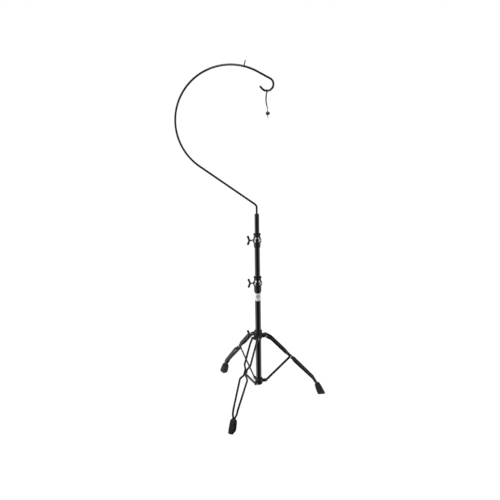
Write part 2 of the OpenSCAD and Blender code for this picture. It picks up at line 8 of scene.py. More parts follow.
import bmesh
import bpy
import numpy as np
from bpy.props import FloatProperty, FloatVectorProperty, IntProperty, PointerProperty
from mathutils import Matrix, Vector


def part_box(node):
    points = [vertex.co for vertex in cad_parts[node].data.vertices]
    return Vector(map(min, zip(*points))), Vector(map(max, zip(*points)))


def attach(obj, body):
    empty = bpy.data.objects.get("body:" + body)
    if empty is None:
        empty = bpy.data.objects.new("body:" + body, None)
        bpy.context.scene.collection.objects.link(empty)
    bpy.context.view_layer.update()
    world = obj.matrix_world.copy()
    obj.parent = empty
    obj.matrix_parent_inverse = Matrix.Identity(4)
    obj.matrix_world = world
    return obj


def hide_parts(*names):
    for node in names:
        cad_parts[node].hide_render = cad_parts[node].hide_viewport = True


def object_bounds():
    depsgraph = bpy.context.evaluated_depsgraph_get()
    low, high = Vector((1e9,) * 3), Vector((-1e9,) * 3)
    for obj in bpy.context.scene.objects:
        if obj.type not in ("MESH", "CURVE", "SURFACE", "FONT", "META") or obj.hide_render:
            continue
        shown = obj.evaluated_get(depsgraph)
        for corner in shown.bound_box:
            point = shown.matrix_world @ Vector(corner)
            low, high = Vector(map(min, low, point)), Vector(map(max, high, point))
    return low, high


bl_info = {
    "name": "Suspended Cymbal Stand",
    "version": (1, 0, 0),
    "blender": (4, 5, 0),
    "location": "3D View > Sidebar > Stand",
    "description": "Builds the finished pieces of a suspended cymbal stand round its frame",
    "category": "Object",
}

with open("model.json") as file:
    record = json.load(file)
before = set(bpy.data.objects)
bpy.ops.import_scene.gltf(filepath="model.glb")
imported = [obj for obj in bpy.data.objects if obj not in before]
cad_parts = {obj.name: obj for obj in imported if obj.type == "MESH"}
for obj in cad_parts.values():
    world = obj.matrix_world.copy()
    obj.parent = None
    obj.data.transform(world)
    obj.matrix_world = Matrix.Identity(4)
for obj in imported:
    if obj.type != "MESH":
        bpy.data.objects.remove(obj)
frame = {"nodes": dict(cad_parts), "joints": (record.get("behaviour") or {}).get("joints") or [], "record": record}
CAD_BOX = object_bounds()
RECORD = frame["record"]
JOINTS = {joint["name"]: joint for joint in frame["joints"]}
BODY_OF = {node: body for body, nodes in RECORD["behaviour"]["bodies"].items() for node in nodes}
SLOT_OF = {part["node"]: part["material_slot"] for part in RECORD["subparts"]}
LEGS = ("a", "b", "c")
MM = 0.001
FINISH = "finish_"
CREASE = math.radians(38)
UP = np.array([0.0, 0.0, 1.0])
EAST = np.array([1.0, 0.0, 0.0])
NORTH = np.array([0.0, 1.0, 0.0])


# ---------------------------------------------------------------- settings

def length(name, description, millimetres):
    return FloatProperty(
        name=name, description=description, default=millimetres * MM, min=0.0001, max=2.0,
        precision=4, unit="LENGTH")


def angle(name, description, degrees):
    return FloatProperty(
        name=name, description=description, default=math.radians(degrees),
        min=-math.tau, max=math.tau, unit="ROTATION", subtype="ANGLE")


def colour(name, description, default):
    return FloatVectorProperty(
        name=name, description=description, default=default, size=3, min=0.0, max=1.0,
        subtype="COLOR")


def amount(name, description, default, low=0.0, high=5.0):
    return FloatProperty(name=name, description=description, default=default, min=low, max=high)


def count(name, description, default, low, high):
    return IntProperty(name=name, description=description, default=default, min=low, max=high)


class FinishSettings(bpy.types.PropertyGroup):
    paint: colour("Paint", "Gloss black of the tubes and the rod", (0.006, 0.006, 0.0065))
    strip_paint: colour("Strip paint", "Black of the leg strips and braces", (0.012, 0.012, 0.0105))
    cast_paint: colour("Casting paint", "Black of the castings", (0.008, 0.008, 0.008))
    zinc: colour("Zinc", "Plated bolts and rivets", (0.62, 0.60, 0.56))
    nylon: colour("Nylon", "Natural nylon of the sleeves", (0.80, 0.79, 0.75))
    plastic: colour("Plastic", "Moulded black plastic", (0.010, 0.010, 0.010))
    rubber: colour("Rubber", "Rubber of the feet", (0.013, 0.0125, 0.0125))
    cord: colour("Cord", "Braided cord", (0.012, 0.012, 0.012))
    tip: colour("Cord tip", "Crimped ends of the cord", (0.36, 0.33, 0.30))
    label: colour("Label", "White of the sticker", (0.86, 0.86, 0.86))
    mark: colour("Label mark", "Dark grey printed on the sticker", (0.035, 0.035, 0.037))


class TubeSettings(bpy.types.PropertyGroup):
    wall: length("Wall", "Wall of the tubes", 1.2)
    edge: length("Edge", "Radius of the tubes' broken edges", 0.35)
    sides: count("Sides", "Faces round a turned piece", 72, 12, 192)


class CastingSettings(bpy.types.PropertyGroup):
    grid: length("Grid", "Mesh size of the castings", 0.75)
    small_grid: length("Small grid", "Mesh size of the cord lock and wings", 0.4)
    soften: count("Soften", "Smoothing passes that round the cast edges", 4, 0, 20)


class WingSettings(bpy.types.PropertyGroup):
    reach: length("Reach", "From the bolt's axis to the centre of a wing's tip", 18.5)
    lean: length("Lean", "How far the tips lean away from the mast", 6)
    breadth: length("Breadth", "Breadth of the wings", 11.2)
    thickness: length("Thickness", "Thickness of the wings", 6.5)
    stem: length("Stem", "Diameter of the stem", 7)
    shank: length("Shank", "Diameter of the bolt's shank", 6)
    pitch: length("Pitch", "Pitch of the bolt's thread", 1)


class LegSettings(bpy.types.PropertyGroup):
    slope: angle("Slope", "Slope of a leg's straight part", 48.5)
    strip: length("Strip", "Width of a leg strip", 13)
    brace: length("Brace", "Width of a brace", 12)
    depth: length("Depth", "Depth of a strip, a channel open towards its twin", 6.5)
    sheet: length("Sheet", "Sheet thickness of a strip", 1.6)
    rolled: length("Rolled edge", "Outer radius of the strips' folds", 2.4)
    thickness: length("Thickness", "Thickness of the braces", 3)
    edge: length("Edge", "Radius of the braces' edges", 0.8)
    knee: length("Knee", "From the middle pivot up to the knee", 150)
    ankle: length("Ankle", "From the middle pivot down to the ankle", 178)
    bend: length("Bend", "Radius of the knee and the ankle", 26)
    ear: length("Ear", "Width of the collar's ears", 25)
    side_gap: length("Side gap", "Clearance between flat parts at a pivot", 0.15)
    upper_bow: length("Upper bow", "Half the spread of the strips above the pivot", 16)
    lower_bow: length("Lower bow", "Half the spread of the strips below the pivot", 20)
    at_ankle: length("At the ankle", "Half the spread of the strips at the ankle", 12)
    close_from: length("Close from", "Where the strips start to close, above the foot", 20)
    close_half: length("Close half", "Half the spread there", 10.5)
    pinch: FloatVectorProperty(name="Pinch", description="Where the strips close on the brace",
                               default=(-22 * MM, 9 * MM), size=2, unit="LENGTH")
    ramp: length("Ramp", "Length of the ramps beside the pinch", 20)
    cheeks: length("Cheeks", "Width of the hub over its two cheeks", 11.3)
    rivet: length("Rivet", "Diameter of the rivets", 5)
    head: length("Rivet head", "Radius of a rivet's head", 4.5)
    dome: length("Rivet dome", "Height of a rivet's head", 1.9)


class FootSettings(bpy.types.PropertyGroup):
    top_out: length("Top, outwards", "Where the strips enter the foot, from the mast", 304.5)
    top_up: length("Top, up", "Height at which the strips enter the foot", 61)
    sole_out: length("Sole, outwards", "The sole's middle, from the mast", 330)
    sole: length("Sole", "Length of the sole", 42)
    breadth: length("Breadth", "Width of the foot", 30)
    crown: length("Crown", "Half the foot's depth at its upper end", 13.5)
    corner: length("Corner", "Radius of the upright corners", 6.5)
    sole_round: length("Sole's round", "Radius of the sole's edge", 4.5)
    crown_round: length("Crown's round", "Radius of the crown's edge", 7.5)
    belly: length("Belly", "How far the sides swell at half height", 1.2)


class ArmSettings(bpy.types.PropertyGroup):
    rod: length("Rod", "Diameter of the rod", 9.4)
    corner_z: length("Corner", "Height of the first corner", 1045)
    corner_r: length("Corner radius", "Radius of the first bend", 22)
    lean: angle("Lean", "Lean of the straight run, from the vertical", 53.6)
    run: length("Run", "Length of the straight run", 310)
    bow: length("Bow", "Radius of the bow", 250)
    drop: length("Drop", "Length of the stretch between bow and hook", 63)
    drop_slope: angle("Drop slope", "Slope of that stretch", 28.9)
    hook: length("Hook", "Radius of the hook", 28.5)
    hook_turn: angle("Hook turn", "Angle that the hook turns through", 199.0)
    tip: length("Tip", "Length of the hook's straight tip", 12)
    peg: length("Peg", "Diameter of the strap peg", 5)
    weld: length("Weld", "How far the weld round the peg's root stands out", 1.3)
    peg_long: length("Peg length", "Length of the peg from the rod's centre", 27)


class CordSettings(bpy.types.PropertyGroup):
    diameter: length("Diameter", "Diameter of the cord", 3.2)
    relief: length("Relief", "Depth of the braid", 0.11)
    tip: length("Tip", "Length of a crimped tip", 9)
    step: length("Step", "Distance between the cord's rings", 0.55)
    plaits: count("Plaits", "Strands round the cord", 8, 2, 24)


class StudioSettings(bpy.types.PropertyGroup):
    camera_at: FloatVectorProperty(
        name="Camera", description="Place of the camera", default=(-0.0345, -3.078, 1.9753),
        size=3, unit="LENGTH")
    pitch: angle("Pitch", "How far the camera looks down", 20.533)
    roll: angle("Roll", "Turn of the camera about its own axis", -0.944)
    lens: amount("Lens", "Focal length in millimetres", 49.31, 10.0, 200.0)
    floor: colour("Floor", "Colour of the pale floor", (0.06, 0.06, 0.06))
    floor_glow: amount("Floor glow", "Light that the floor itself gives", 0.975)
    front: amount("Front", "Share of the softboxes' light in front", 0.03)
    behind: amount("Behind", "Share of the softboxes' light behind", 0.3)
    overhead: amount("Overhead", "Share of the softboxes' light from above", 0.2)
    left: amount("Left", "Brightness of the left softbox", 1.6, 0.0, 20.0)
    right: amount("Right", "Brightness of the right softbox", 1.0, 0.0, 20.0)


# ------------------------------------------------------------- small maths

def unit(vectors):
    """Vectors over their lengths, along the last axis."""
    return vectors / np.linalg.norm(vectors, axis=-1, keepdims=True)


def ahead(point, heading, distance):
    """The point at a distance from another, along a heading from the first axis."""
    return np.asarray(point) + distance * np.array([math.cos(heading), math.sin(heading)])


def arc(middle, radius, start, turn, step=math.radians(3)):
    """Points middle + radius * (cos, sin) of angles from start through turn."""
    turns = start + turn * np.linspace(0, 1, max(3, int(abs(turn) / step)))
    return middle + radius * np.column_stack([np.cos(turns), np.sin(turns)])


def rounded_line(corners, radius, count=9):
    """A line through corners, each replaced by the arc that touches both its legs.

    With half the angle between the legs h, the arc's centre lies r / sin h along their
    bisector, and its points are the blend (sin((1 - t) w) a + sin(t w) b) / sin w of the
    two radii a and b, w = 180 degrees - 2 h.
    """
    corners = np.asarray(corners, float)
    radii = np.broadcast_to(radius, len(corners))
    parts = [corners[:1]]
    for before, corner, after, r in zip(corners, corners[1:], corners[2:], radii[1:]):
        u, v = unit(before - corner), unit(after - corner)
        half = math.acos(np.clip(u @ v, -1, 1)) / 2
        if r <= 0 or half > math.radians(89.9):
            parts.append(corner[None])
            continue
        middle = corner + unit(u + v) * r / math.sin(half)
        a, b = (corner + w * r / math.tan(half) - middle for w in (u, v))
        wide = math.pi - 2 * half
        t = np.linspace(0, 1, count)[:, None]
        parts.append(middle + (np.sin((1 - t) * wide) * a + np.sin(t * wide) * b) / math.sin(wide))
    return np.concatenate(parts + [corners[-1:]])


def resampled(line, step):
    """The line again, with points about step apart along it."""
    along = np.concatenate([[0], np.cumsum(np.linalg.norm(np.diff(line, axis=0), axis=1))])
    at = np.linspace(0, along[-1], max(2, math.ceil(along[-1] / step) + 1))
    return np.column_stack([np.interp(at, along, axis) for axis in line.T])


def smooth_line(points, step):
    """A Catmull-Rom curve through the points, with points about step apart.

    Between b and c, with neighbours a and d, it is half of
    2b + (c - a) t + (2a - 5b + 4c - d) t^2 + (3b - a - 3c + d) t^3.
    """
    points = np.asarray(points, float)
    ends = 2 * points[[0, -1]] - points[[1, -2]]
    padded = np.concatenate([ends[:1], points, ends[1:]])
    a, b, c, d = (padded[i:len(padded) - 3 + i, None] for i in range(4))
    t = np.linspace(0, 1, 16, endpoint=False)[None, :, None]
    curve = (2 * b + (c - a) * t + (2 * a - 5 * b + 4 * c - d) * t**2
             + (3 * b - a - 3 * c + d) * t**3) / 2
    return resampled(np.concatenate([curve.reshape(-1, 3), points[-1:]]), step)


def rounded_box(width, height, radius, steps=5):
    """A closed outline: corner centres (+-(w/2 - r), +-(h/2 - r)) plus r (cos, sin).

    Sizes given as arrays make an outline for each.
    """
    turns = (np.linspace(0, math.pi / 2, steps) + np.arange(4)[:, None] * math.pi / 2).ravel()
    across, up = (np.repeat(signs, steps) for signs in ((1, -1, -1, 1), (1, 1, -1, -1)))
    width, height, radius = (np.asarray(size)[..., None] for size in (width, height, radius))
    x = across * (width / 2 - radius) + radius * np.cos(turns)
    y = up * (height / 2 - radius) + radius * np.sin(turns)
    return np.stack([x, y], -1)


def circle(radius, sides):
    """A closed outline of that radius."""
    turns = np.arange(sides) / sides * math.tau
    return radius * np.column_stack([np.cos(turns), np.sin(turns)])


# ------------------------------------------------------------------ meshes

def grid_faces(rows, columns, wrap_rows=False):
    """Quads of a grid of points whose columns close on themselves, and its rows if asked."""
    row = np.arange(rows if wrap_rows else rows - 1)[:, None]
    column = np.arange(columns)[None]
    below, beside = (row + 1) % rows, (column + 1) % columns
    corners = [row * columns + column, row * columns + beside,
               below * columns + beside, below * columns + column]
    return np.stack([np.broadcast_to(c, (len(row), columns)) for c in corners], -1).reshape(-1, 4)


def joined(mesh, outwards=False):
    """The mesh with its doubles joined, and its faces turned outwards if asked."""
    edited = bmesh.new()
    edited.from_mesh(mesh)
    bmesh.ops.remove_doubles(edited, verts=edited.verts, dist=1e-6)
    if outwards:
        bmesh.ops.recalc_face_normals(edited, faces=edited.faces)
    edited.to_mesh(mesh)
    edited.free()
    return mesh


def closed_mesh(name, grids, sharp):
    """A mesh from grids, each (points, wrap_rows), its doubles merged and its faces outwards."""
    points, faces, used = [], [], 0
    for grid, wrap_rows in grids:
        rows, columns = grid.shape[:2]
        points.append(grid.reshape(-1, 3))
        faces.append(grid_faces(rows, columns, wrap_rows) + used)
        used += rows * columns
    mesh = bpy.data.meshes.new(name)
    mesh.from_pydata(np.concatenate(points).tolist(), [], np.concatenate(faces).tolist())
    joined(mesh, outwards=True)
    mesh.shade_smooth()
    mesh.set_sharp_from_angle(angle=sharp)
    return mesh


def new_piece(name, mesh):
    piece = bpy.data.objects.new(name, mesh)
    bpy.context.scene.collection.objects.link(piece)
    return piece


def finish_of(node):
    return bpy.data.materials[FINISH + SLOT_OF[node]]


def stands_for(piece, node):
    """The piece rides, is finished and shown in place of its CAD node."""
    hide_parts(node)
    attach(piece, BODY_OF[node])
    piece.data.materials.clear()
    piece.data.materials.append(finish_of(node))
    return piece


def made_for(node, name, grids, sharp=CREASE):
    """A new piece of those grids, in place of the CAD node."""
    return stands_for(new_piece(name, closed_mesh(name, grids, sharp)), node)


def turned(profile, centre, axis, sides, closed=False):
    """A profile of (radius, distance) turned about an axis through a centre.

    A point is centre + distance * axis + radius * (cos a * u + sin a * v). A closed
    profile gives a ring, and an open one starts and ends on the axis.
    """
    axis = unit(np.asarray(axis, float))
    u = unit(np.cross(axis, EAST if abs(axis[0]) < 0.9 else NORTH))
    v = np.cross(axis, u)
    turns = np.arange(sides) / sides * math.tau
    rim = np.cos(turns)[:, None] * u + np.sin(turns)[:, None] * v
    radius, distance = np.asarray(profile, float).T
    points = (np.asarray(centre) + distance[:, None, None] * axis
              + radius[:, None, None] * rim[None])
    return points, closed


def swept(path, outline, across, breadth=None, scale=None):
    """An outline carried along a path, closed by a point at each end.

    Its first coordinate runs along n = across x t, t the path's tangent, times breadth,
    its second along t x n, and both are multiplied by scale, row by row.
    """
    path = np.asarray(path, float)
    tangent = unit(np.gradient(path, axis=0))
    first = unit(np.cross(across, tangent))
    second = np.cross(tangent, first)
    one = np.ones(len(path))
    breadth, scale = (one if factor is None else factor for factor in (breadth, scale))
    rings = (path[:, None]
             + (outline[None, :, 0] * (breadth * scale)[:, None])[..., None] * first[:, None]
             + (outline[None, :, 1] * scale[:, None])[..., None] * second[:, None])
    ends = [np.broadcast_to(path[k], (1, len(outline), 3)) for k in (0, -1)]
    return np.concatenate([ends[0], rings, ends[1]]), False


def relief_tube(path, across, radius):
    """A round tube along a path, its radius given for each ring and side."""
    points, closed = swept(path, circle(1.0, radius.shape[1]), across)
    points[1:-1] = path[:, None] + (points[1:-1] - path[:, None]) * radius[..., None]
    return points, closed


def ring_profile(inner, outer, low, high, edge):
    """A closed profile of a tube's wall, its four corners rounded."""
    corners = [[inner, (low + high) / 2], [inner, low], [outer, low], [outer, high],
               [inner, high], [inner, (low + high) / 2]]
    return rounded_line(corners, [0, edge, edge, edge, edge, 0], 4)[:-1]


def remeshed(name, mesh, grid, soften):
    """The mesh wrapped in an even skin of that grid and smoothed, as a casting's edges are."""
    piece = new_piece(name, mesh)
    skin = piece.modifiers.new("skin", "REMESH")
    skin.mode, skin.voxel_size, skin.use_smooth_shade = "VOXEL", grid, True
    ease = piece.modifiers.new("ease", "SMOOTH")
    ease.factor, ease.iterations = 0.5, soften
    evaluated = piece.evaluated_get(bpy.context.evaluated_depsgraph_get())
    done = bpy.data.meshes.new_from_object(evaluated)
    piece.modifiers.clear()
    piece.data = done
    done.name = name
    done.shade_smooth()
    return piece


def merged_copy(node):
    """A copy of a CAD node's mesh with its loose triangles joined."""
    return joined(frame["nodes"][node].data.copy())


# --------------------------------------------------------------- materials

def empty_tree(owner):
    """The node tree of a material or world, emptied."""
    owner.use_nodes = True
    owner.node_tree.nodes.clear()
    return owner.node_tree


def put(tree, value, socket):
    """Links a socket's value into another, or gives it a plain value."""
    if isinstance(value, bpy.types.NodeSocket):
        tree.links.new(value, socket)
    else:
        socket.default_value = value


def add(tree, kind, inputs=None, **attributes):
    """A node with its attributes set and its inputs linked or given values."""
    node = tree.nodes.new(kind)
    for key, value in attributes.items():
        setattr(node, key, value)
    for key, value in (inputs or {}).items():
        put(tree, value, node.inputs[key])
    return node


def noise(tree, place, scale, detail=3.0, roughness=0.55):
    return add(tree, "ShaderNodeTexNoise", {
        "Vector": place, "Scale": scale, "Detail": detail, "Roughness": roughness,
    }).outputs["Fac"]


def ranged(tree, value, low, high, to_low=0.0, to_high=1.0):
    return add(tree, "ShaderNodeMapRange", {
        "Value": value, "From Min": low, "From Max": high, "To Min": to_low, "To Max": to_high,
    }).outputs["Result"]


def maths(tree, operation, first, second):
    return add(tree, "ShaderNodeMath", {0: first, 1: second}, operation=operation).outputs[0]


def times(tree, first, second):
    return maths(tree, "MULTIPLY", first, second)


def colour_mix(tree, share, first, second):
    """A + share (B - A) of two colours."""
    node = tree.nodes.new("ShaderNodeMix")
    node.data_type = "RGBA"
    sockets = [s for s in node.inputs if s.enabled]
    for socket, value in zip(sockets, (share, first, second)):
        put(tree, value, socket)
    return next(s for s in node.outputs if s.enabled)


SURFACE_INPUTS = ("Colour", "Second Colour", "Amount", "Roughness", "Scale")


def surface_group(name, effect):
    """A group that mixes two colours, changes the roughness and gives a height.

    The effect adds its own nodes and returns the second colour's share, the change of
    roughness and the height.
    """
    tree = bpy.data.node_groups.new(name, "ShaderNodeTree")
    for label in SURFACE_INPUTS:
        kind = "NodeSocketColor" if "Colour" in label else "NodeSocketFloat"
        tree.interface.new_socket(name=label, in_out="INPUT", socket_type=kind)
    for label, kind in (("Colour", "Color"), ("Roughness", "Float"), ("Height", "Float")):
        tree.interface.new_socket(name=label, in_out="OUTPUT", socket_type="NodeSocket" + kind)
    given = add(tree, "NodeGroupInput").outputs
    place = add(tree, "ShaderNodeTexCoord").outputs["Object"]
    share, change, height = effect(tree, given, place)
    add(tree, "NodeGroupOutput", {
        "Colour": colour_mix(tree, share, given["Colour"], given["Second Colour"]),
        "Roughness": maths(tree, "ADD", given["Roughness"], change),
        "Height": height})
    return tree


def paint_film(tree, given, place):
    """Paint: a slow change of gloss, orange peel as height, and fine rubs that show through."""
    cloud = noise(tree, place, 9.0)
    rubs = ranged(tree, noise(tree, place, 340.0, 6.0, 0.7), 0.64, 0.74)
    worn = times(tree, times(tree, rubs, cloud), given["Amount"])
    change = maths(tree, "ADD", ranged(tree, cloud, 0.3, 0.7, -0.03, 0.04), times(tree, worn, 0.3))
    return worn, change, noise(tree, place, given["Scale"], 1.5)


def moulded_grain(tree, given, place):
    """Rubber and plastic: spark-eroded grain, slow mottling and a bloom that dulls it."""
    cloud = noise(tree, place, 55.0, 5.0, 0.6)
    bloom = times(tree, ranged(tree, cloud, 0.42, 0.72), given["Amount"])
    pits = add(tree, "ShaderNodeTexVoronoi", {"Vector": place, "Scale": given["Scale"]})
    return bloom, ranged(tree, cloud, 0.3, 0.7, -0.05, 0.08), pits.outputs["Distance"]


def plated_metal(tree, given, place):
    """Zinc plate: yellow and blue passivation clouds, and drawn scratches as height."""
    cloud = noise(tree, place, 130.0, 4.0)
    share = times(tree, ranged(tree, cloud, 0.4, 0.65), given["Amount"])
    return share, ranged(tree, cloud, 0.3, 0.7, -0.05, 0.1), noise(tree, place, given["Scale"], 2.0)


def plaited_yarn(tree, given, place):
    """Cord: yarns as fine noise, with lint on the lighter of them."""
    yarn = noise(tree, place, given["Scale"], 2.0)
    lint = times(tree, ranged(tree, yarn, 0.5, 0.75), given["Amount"])
    return lint, ranged(tree, yarn, 0, 1, -0.1, 0.1), yarn


def finished(name, group, values, relief, bump, **shader):
    """A material: a shared group drives the Principled BSDF's colour, roughness and bump.

    The values are the group's inputs, in their order.
    """
    material = bpy.data.materials.new(FINISH + name)
    tree = empty_tree(material)
    effect = add(tree, "ShaderNodeGroup", node_tree=group)
    for label, value in zip(SURFACE_INPUTS, values):
        effect.inputs[label].default_value = (*value, 1.0) if "Colour" in label else value
    height = add(tree, "ShaderNodeBump", {
        "Height": effect.outputs["Height"], "Strength": bump, "Distance": relief})
    surface = add(tree, "ShaderNodeBsdfPrincipled", {
        "Base Color": effect.outputs["Colour"], "Roughness": effect.outputs["Roughness"],
        "Normal": height.outputs["Normal"], **shader})
    add(tree, "ShaderNodeOutputMaterial", {"Surface": surface.outputs["BSDF"]})
    return material


def label_finish(look, group):
    """The sticker: white vinyl, with a hexagon ring and an upright bar printed at the front."""
    badge, bore, bar = 7.6 * MM, 5.4 * MM, 1.3 * MM
    material = finished(
        "label_white", group, (look.label, (0.7, 0.7, 0.7), 0.15, 0.32, 500.0), 0.02 * MM, 0.1)
    tree = material.node_tree
    surface = tree.nodes["Principled BSDF"]
    low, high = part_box("tube_label")
    place = add(tree, "ShaderNodeTexCoord").outputs["Object"]
    axes = add(tree, "ShaderNodeSeparateXYZ", {"Vector": place}).outputs
    up = maths(tree, "SUBTRACT", axes["Z"], (low.z + high.z) / 2 + 2 * MM)
    front = maths(tree, "LESS_THAN", axes["Y"], 0.0)
    wide = maths(tree, "ABSOLUTE", axes["X"], 0.0)
    tall = maths(tree, "ABSOLUTE", up, 0.0)
    slant = maths(tree, "ADD", times(tree, wide, 0.87), times(tree, tall, 0.5))
    reach = maths(tree, "MAXIMUM", slant, tall)
    rim = times(tree, maths(tree, "LESS_THAN", reach, badge),
                maths(tree, "GREATER_THAN", reach, bore))
    core = times(tree, maths(tree, "LESS_THAN", wide, bar), maths(tree, "LESS_THAN", tall, bore))
    printed = times(tree, maths(tree, "MAXIMUM", rim, core), front)
    base = surface.inputs["Base Color"]
    plain = base.links[0].from_socket
    tree.links.new(colour_mix(tree, printed, plain, (*look.mark, 1.0)), base)
    return material


# --------------------------------------------------------------- operators

class PieceOperator:
    bl_options = {"REGISTER"}

    def execute(self, context):
        self.build(context.scene.cymbal_stand)
        return {"FINISHED"}


class STAND_OT_studio(PieceOperator, bpy.types.Operator):
    """Sets up the camera, the pale floor and the soft lights"""
    bl_idname = "stand.studio"
    bl_label = "Studio"

    def build(self, stand):
        studio = stand.studio
        lens = bpy.data.cameras.new("camera")
        lens.lens, lens.sensor_width = studio.lens, 36.0
        lens.clip_end = 100.0
        camera = bpy.data.objects.new("camera", lens)
        camera.matrix_world = (
            Matrix.Translation(studio.camera_at)
            @ Matrix.Rotation(math.pi / 2 - studio.pitch, 4, "X")
            @ Matrix.Rotation(studio.roll, 4, "Z"))
        bpy.context.scene.collection.objects.link(camera)
        bpy.context.scene.camera = camera
        bpy.context.scene.view_settings.view_transform = "Standard"
        self.make_floor(studio)
        self.make_room(studio)
        self.make_lights()

    def make_floor(self, studio):
        """A pale floor, which reflects in the stand as softboxes left and right of it."""
        half = 30.0
        mesh = bpy.data.meshes.new("floor")
        corners = [(-half, -half, 0), (half, -half, 0), (half, half, 0), (-half, half, 0)]
        mesh.from_pydata(corners, [], [(0, 1, 2, 3)])
        floor = new_piece("floor", mesh)
        material = bpy.data.materials.new("pale_floor")
        tree = empty_tree(material)
        place = add(tree, "ShaderNodeTexCoord").outputs["Object"]
        glow = add(tree, "ShaderNodeEmission", {"Strength": self.softboxes(tree, place, studio)})
        pale = add(tree, "ShaderNodeBsdfPrincipled", {
            "Base Color": (*studio.floor, 1.0), "Roughness": 0.9,
            "Emission Color": (1.0, 1.0, 1.0, 1.0), "Emission Strength": studio.floor_glow})
        seen = add(tree, "ShaderNodeLightPath").outputs["Is Camera Ray"]
        both = add(tree, "ShaderNodeMixShader", {
            0: seen, 1: glow.outputs["Emission"], 2: pale.outputs["BSDF"]})
        add(tree, "ShaderNodeOutputMaterial", {"Surface": both.outputs["Shader"]})
        mesh.materials.append(material)

    def softboxes(self, tree, vector, studio):
        """Brightness by compass direction: dark in front, dim behind, brightest on the left."""
        axes = add(tree, "ShaderNodeSeparateXYZ", {"Vector": vector}).outputs
        flat = add(tree, "ShaderNodeCombineXYZ", {"X": axes["X"], "Y": axes["Y"]})
        compass = add(tree, "ShaderNodeVectorMath", {0: flat.outputs[0]}, operation="NORMALIZE")
        way = add(tree, "ShaderNodeSeparateXYZ", {"Vector": compass.outputs[0]}).outputs
        aside = ranged(tree, way["Y"], -0.9, 0.0, studio.front, 1.0)
        behind = ranged(tree, way["Y"], 0.2, 1.0, 1.0, studio.behind)
        side = ranged(tree, way["X"], -0.3, 0.3, studio.left, studio.right)
        return times(tree, times(tree, aside, behind), side)

    def make_room(self, studio):
        """White to the eye, and softboxes in reflections and as light."""
        world = bpy.data.worlds.new("room")
        bpy.context.scene.world = world
        tree = empty_tree(world)
        seen = add(tree, "ShaderNodeLightPath").outputs["Is Camera Ray"]
        ray = add(tree, "ShaderNodeTexCoord").outputs["Generated"]
        up = add(tree, "ShaderNodeSeparateXYZ", {"Vector": ray}).outputs["Z"]
        low = ranged(tree, up, 0.1, 0.8, 1.0, studio.overhead)
        boxes = times(tree, self.softboxes(tree, ray, studio), low)
        brightness = add(tree, "ShaderNodeMix", {"Factor": seen, "A": boxes, "B": 1.0})
        light = add(tree, "ShaderNodeBackground", {
            "Color": (1.0, 1.0, 1.0, 1.0), "Strength": brightness.outputs["Result"]})
        add(tree, "ShaderNodeOutputWorld", {"Surface": light.outputs["Background"]})

    def make_lights(self):
        low, high = CAD_BOX
        aim_at, tall = (low + high) / 2, high.z
        for name, place, size, power in (
            ("left_box", (-2.4, -0.4, 1.5), (0.8, 1.6), 16.0),
            ("right_box", (2.4, 0.2, 1.5), (0.8, 1.6), 8.0),
            ("top_box", (-0.3, -1.8, 1.9 * tall), (1.6, 1.6), 70.0),
        ):
            lamp = bpy.data.lights.new(name, "AREA")
            lamp.shape, lamp.size, lamp.size_y, lamp.energy = "RECTANGLE", *size, power
            light = bpy.data.objects.new(name, lamp)
            light.location = place
            aim = Vector((aim_at.x, aim_at.y, tall / 2)) - light.location
            light.rotation_mode = "QUATERNION"
            light.rotation_quaternion = aim.to_track_quat("-Z", "Y")
            bpy.context.scene.collection.objects.link(light)


class STAND_OT_finishes(PieceOperator, bpy.types.Operator):
    """Makes the materials and puts each on its CAD nodes"""
    bl_idname = "stand.finishes"
    bl_label = "Finishes"

    def build(self, stand):
        look = stand.finish
        paint = surface_group("Paint film", paint_film)
        moulded = surface_group("Moulded grain", moulded_grain)
        plated = surface_group("Plated metal", plated_metal)
        plaited = surface_group("Plaited yarn", plaited_yarn)
        finished("gloss_black_tube", paint, (look.paint, (0.05, 0.05, 0.055), 0.25, 0.16, 330.0),
                 0.02 * MM, 0.12, **{"Coat Weight": 0.6, "Coat Roughness": 0.06})
        finished("black_rod", paint, (look.paint, (0.06, 0.06, 0.06), 0.3, 0.22, 420.0),
                 0.02 * MM, 0.15,
                 **{"Specular IOR Level": 0.4, "Coat Weight": 0.1, "Coat Roughness": 0.1})
        finished("black_strip", paint, (look.strip_paint, (0.10, 0.10, 0.09), 0.35, 0.34, 520.0),
                 0.03 * MM, 0.2, **{"Specular IOR Level": 0.3})
        finished("black_casting", paint, (look.cast_paint, (0.09, 0.09, 0.09), 0.6, 0.36, 900.0),
                 0.06 * MM, 0.35)
        finished("zinc_plate", plated, (look.zinc, (0.46, 0.43, 0.34), 0.5, 0.28, 1600.0),
                 0.02 * MM, 0.2, Metallic=1.0)
        finished("nylon", moulded, (look.nylon, (0.66, 0.64, 0.58), 0.35, 0.42, 700.0),
                 0.02 * MM, 0.1)
        finished("black_plastic", moulded, (look.plastic, (0.03, 0.03, 0.03), 0.4, 0.38, 1300.0),
                 0.04 * MM, 0.25)
        finished("foot_rubber", moulded, (look.rubber, (0.035, 0.033, 0.031), 0.5, 0.6, 1000.0),
                 0.08 * MM, 0.4, **{"Specular IOR Level": 0.25})
        finished("cord_black", plaited, (look.cord, (0.03, 0.03, 0.03), 0.5, 0.85, 2600.0),
                 0.05 * MM, 0.4, **{"Specular IOR Level": 0.2})
        finished("tip_grey", moulded, (look.tip, (0.45, 0.43, 0.40), 0.4, 0.4, 1500.0),
                 0.03 * MM, 0.2)
        label_finish(look, moulded)
        for name, node in frame["nodes"].items():
            node.data.materials.clear()
            node.data.materials.append(finish_of(name))


def hook_bottom():
    """Centre of the rod at the hook's lowest point, where the cord swings."""
    return np.array(JOINTS["cord_swing"]["pos_m"])


